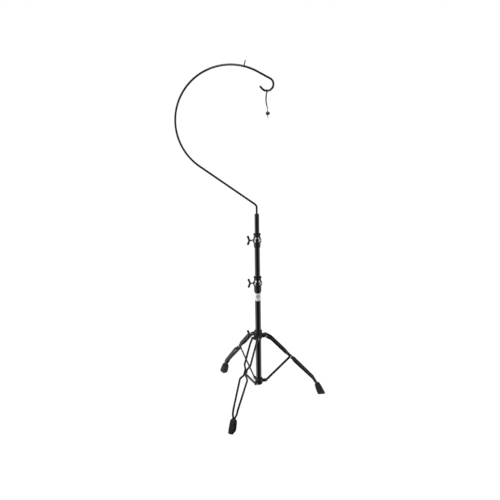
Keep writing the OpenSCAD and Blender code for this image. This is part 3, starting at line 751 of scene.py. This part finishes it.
# The cord's points, from the hook's lowest rod centre: up the front strand,
# over the rod and down the back strand.
CORD_ROUTE = np.array([
    (2.6, -1.8, -112), (2.6, -1.8, -110), (1.9, -1.8, -106),
    (1.9, -1.8, -99), (1.9, -1.8, -91), (1.9, -1.8, -82), (1.4, -1.9, -75),
    (-1.6, -2.6, -66), (-4.2, -3.6, -56), (-5.8, -4.6, -44), (-6.0, -5.6, -31),
    (-5.0, -6.4, -19), (-3.0, -6.9, -9), (-1.4, -6.9, 0), (-0.8, -6.0, 3.4),
    (-0.4, -3.5, 5.9), (0, 0, 6.9), (0.4, 3.5, 5.9), (0.8, 6.0, 3.4),
    (1.4, 6.9, 0), (0.2, 6.9, -9), (-1.6, 6.4, -19), (-2.8, 5.6, -31),
    (-3.0, 4.6, -44), (-1.8, 3.6, -56), (0.2, 2.6, -66), (1.8, 1.9, -75),
    (1.9, 1.8, -82), (1.9, 1.8, -91), (1.9, 1.8, -99), (1.9, 1.8, -106),
    (2.6, 1.8, -110), (2.6, 1.8, -112)]) * MM


class STAND_OT_hanging_cord(PieceOperator, bpy.types.Operator):
    """Makes the plaited cord over the hook, its crimped tips and its lock"""
    bl_idname = "stand.hanging_cord"
    bl_label = "Hanging cord"

    def build(self, stand):
        cord = stand.cord
        path = smooth_line(hook_bottom() + CORD_ROUTE, cord.step)
        piece = self.make_cord(cord, path)
        tips = self.make_tips(cord, path)
        grid, soften = stand.casting.small_grid, 2
        lock = [stands_for(remeshed("cord_" + node, merged_copy(node), grid, soften), node)
                for node in ("lock_barrel", "lock_plunger")]

    def make_cord(self, cord, path):
        """A tube of radius R - d (1 - |cos(k a + w s) cos(k a - w s)|), the plaits' relief."""
        along = np.arange(len(path)) * cord.step
        turns = np.arange(24) / 24 * math.tau
        slant = math.tau / (5 * cord.diameter)
        phase = slant * along[:, None]
        around = cord.plaits / 2 * turns[None]
        weave = np.abs(np.cos(around + phase) * np.cos(around - phase))
        radius = cord.diameter / 2 - cord.relief * (1 - weave)
        return made_for("hang_cord", "plaited_cord", [relief_tube(path, EAST, radius)], math.pi)

    def make_tips(self, cord, path):
        """Two turned ferrules with three crimped rings each."""
        radius = cord.diameter / 2 + 0.15 * MM
        along = np.linspace(0, cord.tip, 40)
        crimp = 0.28 * MM * np.clip(np.cos(along / cord.tip * 3 * math.tau), 0, 1) ** 4
        wall = np.column_stack([radius - crimp, -along])
        foot = [[radius * 0.6, -cord.tip - 0.001 * MM], [0, -cord.tip]]
        profile = np.concatenate([[[0, 0]], wall, foot])
        grids = [turned(profile, end, UP, 32) for end in (path[0], path[-1])]
        return made_for("cord_end_tips", "cord_ferrules", grids)


class STAND_OT_tubes(PieceOperator, bpy.types.Operator):
    """Turns the mast's tubes, plugs and nylon sleeves"""
    bl_idname = "stand.tubes"
    bl_label = "Tubes and sleeves"

    def build(self, stand):
        tubes = stand.tubes
        for node in ("base_tube", "middle_tube", "upper_tube"):
            self.make_ring(tubes, node, tubes.wall)
        self.make_sleeve(tubes, "lower_sleeve", "middle_tube")
        self.make_sleeve(tubes, "upper_sleeve", "upper_tube")
        self.make_plugs(stand)

    def make_ring(self, tubes, node, wall):
        low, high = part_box(node)
        profile = ring_profile(high.x - wall, high.x, low.z, high.z, tubes.edge)
        grid = turned(profile, (0, 0, 0), UP, tubes.sides, closed=True)
        made_for(node, "turned_" + node, [grid])

    def make_sleeve(self, tubes, node, inside):
        """A sleeve's wall, with two shallow grooves round it."""
        low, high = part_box(node)
        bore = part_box(inside)[1].x + 0.05 * MM
        tall = high.z - low.z
        outline = ring_profile(bore, high.x, low.z, high.z, 0.3 * MM)
        grooves = [low.z + tall * share for share in (0.12, 0.88)]
        outer = outline[:, 0] > high.x - 0.01 * MM
        start = np.flatnonzero(outer)[0] + 1
        cuts = np.concatenate([[[high.x, z - 0.5 * MM], [high.x - 0.3 * MM, z],
                                [high.x, z + 0.5 * MM]] for z in grooves])
        profile = np.concatenate([outline[:start], cuts, outline[start:]])
        grid = turned(profile, (0, 0, 0), UP, tubes.sides, closed=True)
        made_for(node, "turned_" + node, [grid])

    def make_plugs(self, stand):
        """The bung under the base tube and the cap round the rod."""
        sides = stand.tubes.sides
        low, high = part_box("base_end_plug")
        wide, bevelled, wall = high.x, low.z + 4 * MM, 1.2 * MM
        lip = bevelled + 2 * MM
        corners = [[0, low.z], [0.6 * wide, low.z], [wide, bevelled], [wide, lip],
                   [wide - wall, lip], [wide - wall, high.z], [0, high.z]]
        profile = rounded_line(corners, [0, 1.2 * MM, 0.8 * MM, 0, 0, 0.5 * MM, 0], 5)
        made_for("base_end_plug", "base_bung", [turned(profile, (0, 0, 0), UP, sides)])
        low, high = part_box("upper_tube_plug")
        wide, rod, rim = high.x, stand.arm.rod / 2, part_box("upper_tube")[1].z
        inside, seam = wide - stand.tubes.wall, low.z + 20 * MM
        corners = [[rod, seam], [rod, low.z], [inside, low.z], [inside, rim], [wide, rim],
                   [wide, rim + 1 * MM], [wide - 3 * MM, high.z], [rod, high.z], [rod, seam]]
        profile = rounded_line(corners, [0, 0, 0.5 * MM, 0, 0, 0.6 * MM, 1.2 * MM, 0, 0], 5)[:-1]
        made_for("upper_tube_plug", "rod_cap", [turned(profile, (0, 0, 0), UP, sides, closed=True)])


class STAND_OT_castings(PieceOperator, bpy.types.Operator):
    """Gives the cast clamps, collar and hub the soft edges of a casting"""
    bl_idname = "stand.castings"
    bl_label = "Castings"

    def build(self, stand):
        casting = stand.casting
        for node in ("lower_clamp", "upper_clamp", "leg_collar", "lower_hub"):
            piece = remeshed("cast_" + node, merged_copy(node), casting.grid, casting.soften)
            stands_for(piece, node)


class STAND_OT_wing_bolts(PieceOperator, bpy.types.Operator):
    """Makes the three wing bolts: a moulded wing on a threaded, plated shank"""
    bl_idname = "stand.wing_bolts"
    bl_label = "Wing bolts"

    def build(self, stand):
        for place, joint in (("lower", "lower_bolt_turn"), ("upper", "upper_bolt_turn"),
                             ("collar", "collar_bolt_turn")):
            centre = np.array(JOINTS[joint]["pos_m"])
            outwards = np.array(JOINTS[joint]["axis"], float)
            self.make_wing(stand, place, centre, outwards)
            self.make_shank(stand, place, centre, outwards)

    def make_wing(self, stand, place, centre, outwards):
        """Two arms in one sweep from tip to tip, a hub and a stem, in one skin.

        The tips are domes, sqrt(1 - (1 - e)^2) of the breadth at the share e of half of it.
        """
        wing = stand.wings
        sideways = unit(np.cross(outwards, UP))
        tips = [centre + wing.lean * outwards + side * wing.reach * UP for side in (-1, 1)]
        waist = [centre + 0.45 * wing.lean * outwards + side * 0.5 * wing.reach * UP
                 for side in (-1, 1)]
        path = smooth_line([tips[0], waist[0], centre, waist[1], tips[1]], 0.5 * MM)
        ends = unit(np.array([path[0] - path[1], path[-1] - path[-2]])) * wing.breadth / 2
        reach = np.linspace(1, 0.125, 8)[:, None]
        path = np.concatenate([path[0] + reach * ends[0], path, path[-1] + reach[::-1] * ends[1]])
        steps = np.concatenate([[0], np.cumsum(np.linalg.norm(np.diff(path, axis=0), axis=1))])
        edge = np.minimum(steps, steps[-1] - steps) / (wing.breadth / 2)
        dome = np.sqrt(np.clip(1 - (1 - np.clip(edge, 0.02, 1)) ** 2, 0, 1))
        middle = np.abs(steps / steps[-1] - 0.5) * 2
        waisted = 1.08 - 0.16 * np.sin(np.clip(middle * 1.4, 0, 1) * math.pi)
        outline = circle(1.0, 28) * np.array([wing.breadth / 2, wing.thickness / 2])
        arms = swept(path, outline, sideways, scale=dome * waisted * 0.97)
        stem_end, hub_low, hub_high, top = -13.5 * MM, -4.5 * MM, 2.5 * MM, 4 * MM
        stem, hub = wing.stem / 2, wing.breadth / 2 + 0.5 * MM
        corners = [[0, stem_end], [stem, stem_end], [stem, hub_low - 1 * MM], [hub, hub_low],
                   [hub, hub_high], [0.6 * hub, top], [0, top]]
        profile = rounded_line(corners, [0, 0.6 * MM, 1.5 * MM, 1 * MM, 1.5 * MM, 1 * MM, 0], 5)
        body = turned(profile, centre, outwards, 40)
        name = place + "_wing_nut"
        mesh = closed_mesh(name, [arms, body], CREASE)
        stands_for(remeshed(name, mesh, stand.casting.small_grid, 4), place + "_wing")

    def make_shank(self, stand, place, centre, outwards):
        """A shank whose radius is R - d times a triangle wave of x / pitch - a / 360 degrees."""
        wing = stand.wings
        node = place + "_bolt"
        start = min(abs(np.array(corner) @ outwards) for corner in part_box(node))
        if place == "collar":  # its axis lies aslant, so its box says nothing of its ends
            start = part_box("collar_bush")[1].x - 0.7 * MM
        along = np.arange(start, centre @ outwards - 6 * MM, wing.pitch / 6)
        turns = np.arange(24) / 24
        wave = np.abs(((along[:, None] - start) / wing.pitch - turns[None]) % 1 - 0.5) * 2
        depth = 0.45 * MM * np.clip((along - start) / (1 * MM), 0, 1)[:, None]
        radius = wing.shank / 2 - depth * wave
        path = centre + (along[:, None] - centre @ outwards) * outwards
        made_for(node, place + "_shank", [relief_tube(path, UP, radius)])


def out_and_up(joint):
    """A joint's distance from the mast and its height."""
    x, y, z = JOINTS[joint]["pos_m"]
    return np.array([math.hypot(x, y), z])


def leg_axes(leg):
    """Unit vectors outwards along a leg and across it, and its upper pivot (out, up)."""
    joint = "collar_rise" if leg == "a" else f"leg_{leg}_turn"
    outwards = unit(np.array([*JOINTS[joint]["pos_m"][:2], 0.0]))
    return outwards, np.cross(UP, outwards), out_and_up(joint)


def lower_leg(stand):
    """The straight part's direction, the ankle and the strips' end at the foot, (out, up)."""
    legs, foot = stand.legs, stand.foot
    down = np.array([math.cos(legs.slope), -math.sin(legs.slope)])
    ankle = out_and_up("leg_a_turn") + legs.ankle * down
    return down, ankle, np.array([foot.top_out, foot.top_up])


class STAND_OT_legs(PieceOperator, bpy.types.Operator):
    """Makes the bowed double strips of the legs, the braces and their rivets"""
    bl_idname = "stand.legs"
    bl_label = "Legs"

    def build(self, stand):
        for leg in LEGS:
            self.make_strips(stand, leg)
            self.make_brace(stand, leg)
        self.make_rivets(stand)

    def make_strips(self, stand, leg):
        """A rolled strip along the leg's bent line, its distance from the middle plane y(s)."""
        legs = stand.legs
        outwards, across, top = leg_axes(leg)
        middle = out_and_up("leg_a_turn")
        down, ankle, foot_top = lower_leg(stand)
        knee = middle - legs.knee * down
        toe = foot_top + 30 * MM * unit(foot_top - ankle)
        eye = top - legs.strip / 2 * unit(knee - top)
        step = 2 * MM
        line = resampled(rounded_line([eye, knee, ankle, toe], legs.bend, 24), step)
        along = (line - middle) @ down
        top_s, foot_s = (top - middle) @ down, (foot_top - middle) @ down
        ear = legs.ear / 2 + legs.side_gap + legs.depth / 2
        pinch = legs.thickness / 2 + legs.side_gap + legs.depth / 2
        closed = (legs.thickness + legs.depth) / 2
        spread = rounded_line([
            (top_s - 30 * MM, ear), (top_s + 20 * MM, ear),
            (legs.pinch[0] - legs.ramp, legs.upper_bow), (legs.pinch[0], pinch),
            (legs.pinch[1], pinch), (legs.pinch[1] + legs.ramp, legs.lower_bow),
            (legs.ankle, legs.at_ankle), (foot_s - legs.close_from, legs.close_half),
            (foot_s - 4 * MM, closed), (foot_s + 60 * MM, closed)], 8 * MM, 12)
        aside = np.interp(along, spread[:, 0], spread[:, 1])
        steps = np.arange(len(line)) * step
        round_end = self.rounding(steps, legs.strip / 2)
        for name, side in (("left", 1), ("right", -1)):
            path = line[:, :1] * outwards + line[:, 1:] * UP + side * aside[:, None] * across
            outline = self.channel(legs) * [1, side]
            node = f"leg_{leg}_{name}_strip"
            made_for(node, "rolled_" + node, [swept(path, outline, across, breadth=round_end)])

    def channel(self, legs):
        """A channel's section, its back outwards, its folds and lips rounded."""
        wide, deep, sheet = legs.strip / 2, legs.depth / 2, legs.sheet
        lip, fold = 0.45 * sheet, legs.rolled
        corners = [(0, deep), (-wide, deep), (-wide, -deep), (sheet - wide, -deep),
                   (sheet - wide, deep - sheet), (wide - sheet, deep - sheet),
                   (wide - sheet, -deep), (wide, -deep), (wide, deep), (0, deep)]
        radii = [0, fold, lip, lip, fold - sheet, fold - sheet, lip, lip, fold, 0]
        return rounded_line(corners, radii, 5)[:-1]

    def rounding(self, steps, radius):
        """Half-breadth over radius within a radius of the start: sqrt(1 - (1 - s / r)^2)."""
        inside = np.clip(1 - (steps + 0.15 * MM) / radius, 0, 1)
        return np.sqrt(1 - inside**2)

    def make_brace(self, stand, leg):
        legs = stand.legs
        outwards, across, _ = leg_axes(leg)
        hub, middle = out_and_up("fold"), out_and_up("leg_a_turn")
        reach = legs.brace / 2 * unit(middle - hub)
        ends = np.array([hub - reach, middle + reach])
        line = resampled(ends, 1 * MM)
        steps = np.linspace(0, np.linalg.norm(ends[1] - ends[0]), len(line))
        round_ends = self.rounding(np.minimum(steps, steps[::-1]), legs.brace / 2)
        path = line[:, :1] * outwards + line[:, 1:] * UP
        outline = rounded_box(legs.brace, legs.thickness, legs.edge)
        grid = swept(path, outline, across, breadth=round_ends)
        made_for(f"brace_{leg}", f"rolled_brace_{leg}", [grid])

    def make_rivets(self, stand):
        """Rivets with domed heads at every pivot."""
        legs = stand.legs
        ear_span = legs.ear + 4 * legs.side_gap + 2 * legs.depth
        strip_span = legs.thickness + 2 * (legs.side_gap + legs.depth)
        collar, hubs = [], []
        for leg in LEGS:
            outwards, across, top = leg_axes(leg)
            at = [point[0] * outwards + point[1] * UP
                  for point in (top, out_and_up("fold"), out_and_up("leg_a_turn"))]
            collar.append(self.rivet(legs, at[0], across, ear_span))
            hubs.append(self.rivet(legs, at[1], across, legs.cheeks))
            node = f"leg_{leg}_rivet"
            made_for(node, "domed_" + node, [self.rivet(legs, at[2], across, strip_span)])
        made_for("collar_rivets", "domed_collar_rivets", collar)
        made_for("hub_rivets", "domed_hub_rivets", hubs)

    def rivet(self, legs, centre, axis, span):
        """A pin with a flattened dome at each end, of radius R sqrt(1 - h^2) at the share h."""
        share = np.linspace(1, 0, 9)
        head = np.column_stack([legs.head * np.sqrt(1 - share**2), span / 2 + legs.dome * share])
        half = np.concatenate([head, [[legs.rivet / 2, span / 2]]])
        return turned(np.concatenate([half, half[::-1] * [1, -1]]), centre, axis, 36)


class STAND_OT_feet(PieceOperator, bpy.types.Operator):
    """Moulds the three rubber feet"""
    bl_idname = "stand.feet"
    bl_label = "Feet"

    def build(self, stand):
        for leg in LEGS:
            node = f"leg_{leg}_foot"
            made_for(node, "moulded_" + node, [self.shape(stand, leg)], math.radians(50))

    def shape(self, stand, leg):
        """Rounded boxes stacked from the sole to the crown.

        At the share v of the height, the heel's and toe's edges are straight blends of
        their ends at the sole and at the crown. Both ends are rounded over by the inset
        r - sqrt(r^2 - (r - h)^2), h the distance from that end, the sides swell by
        b sin(180 v degrees), and a groove runs round above the tread.
        """
        foot = stand.foot
        outwards, across, _ = leg_axes(leg)
        _, ankle, foot_top = lower_leg(stand)
        heading = unit(foot_top - ankle)
        aslant = np.array([-heading[1], heading[0]])
        crown = foot_top + 1 * MM * heading
        heel = np.array([foot.sole_out - foot.sole / 2, 0.0])
        toe = np.array([foot.sole_out + foot.sole / 2, 0.0])
        heel_top, toe_top = crown - foot.crown * aslant, crown + foot.crown * aslant
        tall = np.linalg.norm((heel_top + toe_top - heel - toe) / 2)
        groove = 8.5 * MM
        turns = np.linspace(0, math.pi / 2, 9)
        height = np.concatenate([
            foot.sole_round * (1 - np.cos(turns)), groove + np.linspace(-1, 1, 7) * MM,
            np.linspace(1.6 * groove, tall - 1.1 * foot.crown_round, 10),
            tall - foot.crown_round * (1 - np.cos(turns[::-1]))])
        inset = sum(r - np.sqrt(np.clip(r**2 - np.clip(r - end, 0, r) ** 2, 0, None))
                    for r, end in ((foot.sole_round, height), (foot.crown_round, tall - height)))
        inset = inset + 0.8 * MM * np.clip(1 - np.abs(height - groove) / (0.9 * MM), 0, 1)
        share = (height / tall)[:, None]
        swell = foot.belly * np.sin(math.pi * share[:, 0])
        left, right = heel + share * (heel_top - heel), toe + share * (toe_top - toe)
        along = unit(right - left)
        half_long = np.linalg.norm(right - left, axis=1) / 2 - inset + swell - foot.belly / 2
        half_wide = foot.breadth / 2 - inset + swell - foot.belly
        corner = np.minimum(foot.corner, np.minimum(half_long, half_wide) - 0.2 * MM)
        box = rounded_box(2 * half_long, 2 * half_wide, corner, 8)
        flat = ((left + right) / 2)[:, None] + box[..., :1] * along[:, None]
        rings = flat[..., :1] * outwards + flat[..., 1:] * UP + box[..., 1:] * across
        ends = [np.broadcast_to(rings[k].mean(0), (1, *rings.shape[1:])) for k in (0, -1)]
        return np.concatenate([ends[0], rings, ends[1]]), False


class STAND_OT_arm(PieceOperator, bpy.types.Operator):
    """Bends the rod into its bow and hook, and sets the strap peg on it"""
    bl_idname = "stand.arm"
    bl_label = "Arm"

    def build(self, stand):
        arm = stand.arm
        line, peg_at, peg_way = self.route(arm)
        radius = arm.rod / 2
        reach = np.linspace(0.1, 0.999, 9)
        tip = line[-1] + unit(line[-1] - line[-2]) * radius * reach[:, None]
        scale = np.concatenate([np.ones(len(line)), np.sqrt(1 - reach**2)])
        line = np.concatenate([line, tip])
        path = np.column_stack([line[:, 0], np.zeros(len(line)), line[:, 1]])
        made_for("arm_rod", "bent_rod", [swept(path, circle(radius, 28), NORTH, scale=scale)])
        centre = np.array([peg_at[0], 0, peg_at[1]])
        axis = np.array([peg_way[0], 0, peg_way[1]])
        thick, tall = arm.peg / 2, arm.peg_long
        root = thick + arm.weld
        corners = [[0, 0], [root, 0.2 * radius], [root, radius + 0.4 * arm.weld],
                   [thick, radius + arm.weld], [thick, tall], [0, tall]]
        profile = rounded_line(corners, [0, 0, 0.5 * MM, 0.8 * MM, 1.4 * MM, 0], 6)
        made_for("strap_peg", "domed_peg", [turned(profile, centre, axis, 32)])

    def route(self, arm):
        """The rod's centre line (x, z): straight runs and arcs, each heading turned by the next."""
        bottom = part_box("arm_rod")[0].z
        run_heading = math.pi / 2 + arm.lean
        cut = arm.corner_r * math.tan(arm.lean / 2)
        corner_from = np.array([0, arm.corner_z - cut])
        run_start = ahead([0, arm.corner_z], run_heading, cut)
        run_end = ahead(run_start, run_heading, arm.run)
        bow_mid = ahead(run_end, run_heading - math.pi / 2, arm.bow)
        bow_end = ahead(bow_mid, math.pi / 2 - arm.drop_slope, arm.bow)
        drop_end = ahead(bow_end, -arm.drop_slope, arm.drop)
        hook_mid = ahead(drop_end, -math.pi / 2 - arm.drop_slope, arm.hook)
        last = math.pi / 2 - arm.drop_slope - arm.hook_turn
        hook_end = ahead(hook_mid, last, arm.hook)
        tip = ahead(hook_end, last - math.pi / 2, arm.tip)
        fine = math.radians(0.8)
        line = np.concatenate([
            [[0, bottom], corner_from],
            arc(corner_from - [arm.corner_r, 0], arm.corner_r, 0, arm.lean)[1:],
            arc(bow_mid, arm.bow, run_heading + math.pi / 2,
                -(run_heading + arm.drop_slope), fine),
            arc(hook_mid, arm.hook, math.pi / 2 - arm.drop_slope, -arm.hook_turn)[:-1],
            [hook_end, tip]])
        peg = next(m for m in RECORD["mounts"] if m["name"] == "strap_peg")
        peg_way = unit(np.array([peg["axis"][0], peg["axis"][2]]))
        return line, bow_mid + arm.bow * peg_way, peg_way


# ------------------------------------------------------------------- panel

PIECES = (STAND_OT_hanging_cord, STAND_OT_tubes, STAND_OT_castings, STAND_OT_wing_bolts,
          STAND_OT_legs, STAND_OT_feet, STAND_OT_arm)


class StandSettings(bpy.types.PropertyGroup):
    finish: PointerProperty(type=FinishSettings)
    tubes: PointerProperty(type=TubeSettings)
    casting: PointerProperty(type=CastingSettings)
    wings: PointerProperty(type=WingSettings)
    legs: PointerProperty(type=LegSettings)
    foot: PointerProperty(type=FootSettings)
    arm: PointerProperty(type=ArmSettings)
    cord: PointerProperty(type=CordSettings)
    studio: PointerProperty(type=StudioSettings)


class STAND_PT_sidebar(bpy.types.Panel):
    bl_idname = "STAND_PT_sidebar"
    bl_label = "Suspended Cymbal Stand"
    bl_space_type = "VIEW_3D"
    bl_region_type = "UI"
    bl_category = "Stand"

    def draw(self, context):
        for operator in (STAND_OT_studio, STAND_OT_finishes, *PIECES):
            self.layout.operator(operator.bl_idname)


CLASSES = (FinishSettings, TubeSettings, CastingSettings, WingSettings, LegSettings, FootSettings,
           ArmSettings, CordSettings, StudioSettings, StandSettings,
           STAND_OT_studio, STAND_OT_finishes, *PIECES, STAND_PT_sidebar)


def register():
    for cls in CLASSES:
        bpy.utils.register_class(cls)
    bpy.types.Scene.cymbal_stand = PointerProperty(type=StandSettings)


def unregister():
    del bpy.types.Scene.cymbal_stand
    for cls in reversed(CLASSES):
        bpy.utils.unregister_class(cls)


def main():
    register()
    bpy.ops.stand.studio()
    bpy.ops.stand.finishes()
    for operator in PIECES:
        getattr(bpy.ops.stand, operator.bl_idname.split(".")[1])()


if __name__ == "__main__":
    main()
